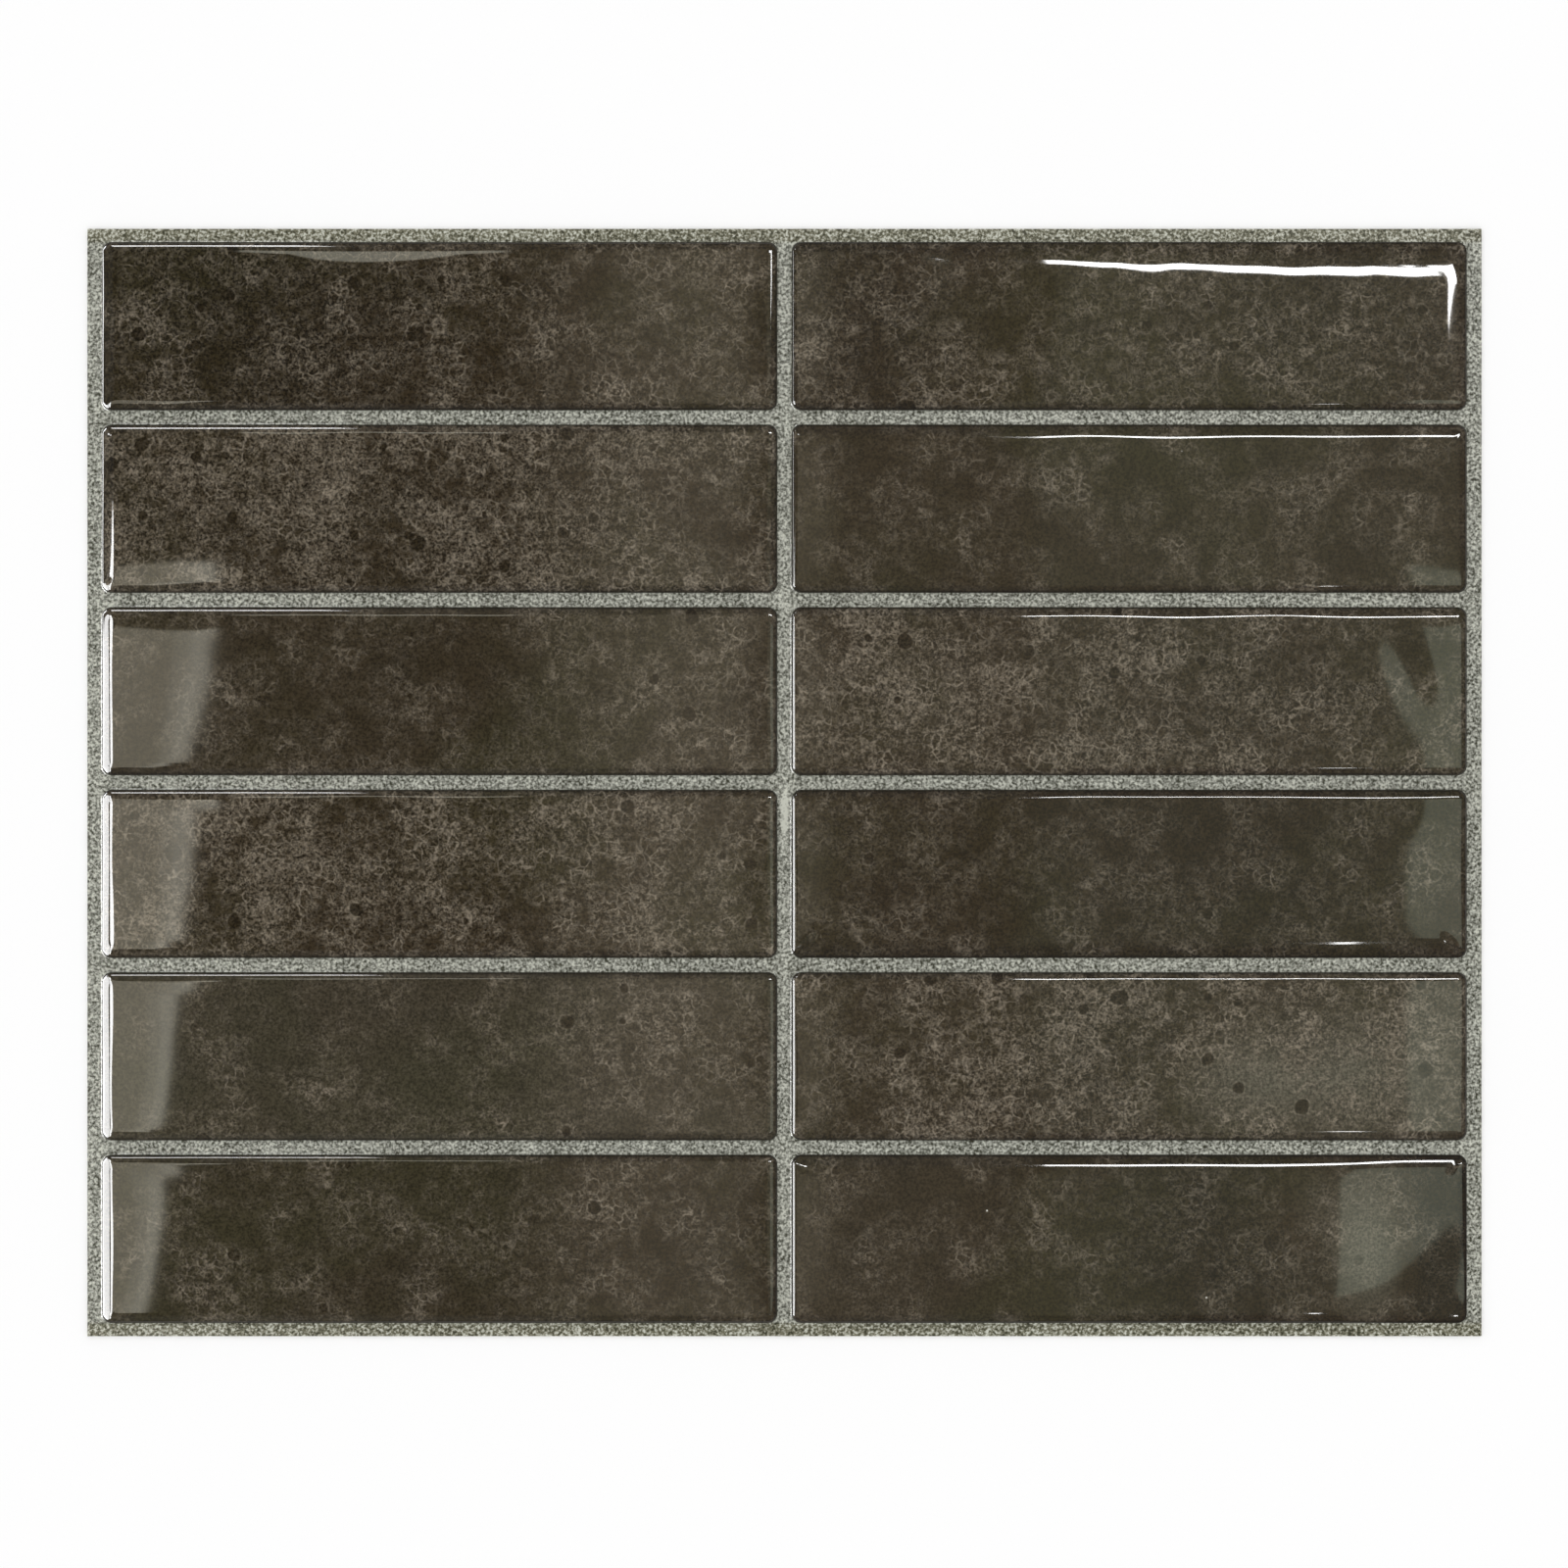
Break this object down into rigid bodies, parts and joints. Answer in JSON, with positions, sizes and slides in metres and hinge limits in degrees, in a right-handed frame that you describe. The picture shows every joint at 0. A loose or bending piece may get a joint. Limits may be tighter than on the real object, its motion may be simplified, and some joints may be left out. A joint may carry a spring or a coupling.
{
  "type": "peel and stick backsplash tile",
  "caption": "Self-adhesive backsplash sheet: glossy dark stone-look gel tiles in straight rows on a printed grout film, with a peel-off liner behind.",
  "frame": {"origin": "centre of the release liner's underside", "axes": "+X along the tiles' length, towards the picture's right; +Y across the rows, towards the picture's top; +Z out of the printed face"},
  "size_m": [0.3048, 0.2422, 0.0021],
  "materials": {
    "liner": "matte",
    "film": "satin",
    "gel": "polished"
  },
  "bodies": {
    "root": {"release_liner": "liner", "printed_film": "film", "gel_tile_r1_c1": "gel", "gel_tile_r1_c2": "gel", "gel_tile_r2_c1": "gel", "gel_tile_r2_c2": "gel", "gel_tile_r3_c1": "gel", "gel_tile_r3_c2": "gel", "gel_tile_r4_c1": "gel", "gel_tile_r4_c2": "gel", "gel_tile_r5_c1": "gel", "gel_tile_r5_c2": "gel", "gel_tile_r6_c1": "gel", "gel_tile_r6_c2": "gel"}
  },
  "joints": []
}
